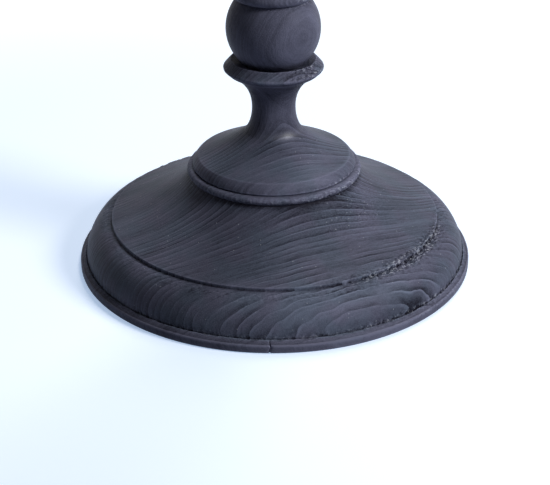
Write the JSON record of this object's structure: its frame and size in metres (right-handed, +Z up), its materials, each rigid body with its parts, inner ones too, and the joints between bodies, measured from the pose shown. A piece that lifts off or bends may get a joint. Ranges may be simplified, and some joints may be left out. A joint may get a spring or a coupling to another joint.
{
  "type": "pricket candle stand",
  "caption": "Turned black-stained wooden candle stand with a moulded round foot, ball and collar stem, wooden dish, iron pricket and a lift-off drip pan.",
  "frame": {"origin": "on the table, under the centre of the round foot", "axes": "+Z up along the turning axis to the pricket's tip; -Y towards the viewer of the picture, +X to the viewer's right"},
  "size_m": [0.14, 0.14, 0.2874],
  "materials": {
    "ebonised_wood": "black stain, matte, open grain",
    "blackened_iron": "blackened and waxed, worn at the edges",
    "screw_steel": "plain steel, dulled"
  },
  "bodies": {
    "stand": {"foot": "ebonised_wood", "lower_stem": "ebonised_wood", "upper_stem": "ebonised_wood", "dish": "ebonised_wood", "foot_washer": "screw_steel", "foot_screw": "screw_steel", "pricket_plate": "blackened_iron", "plate_screws": "screw_steel", "pricket": "blackened_iron"},
    "drip_pan": {"drip_pan": "blackened_iron"}
  },
  "joints": [
    {"name": "drip_pan_lift", "type": "slide", "parent": "stand", "child": "drip_pan", "axis": [0, 0, 1], "range_m": [0, 0.06]}
  ]
}
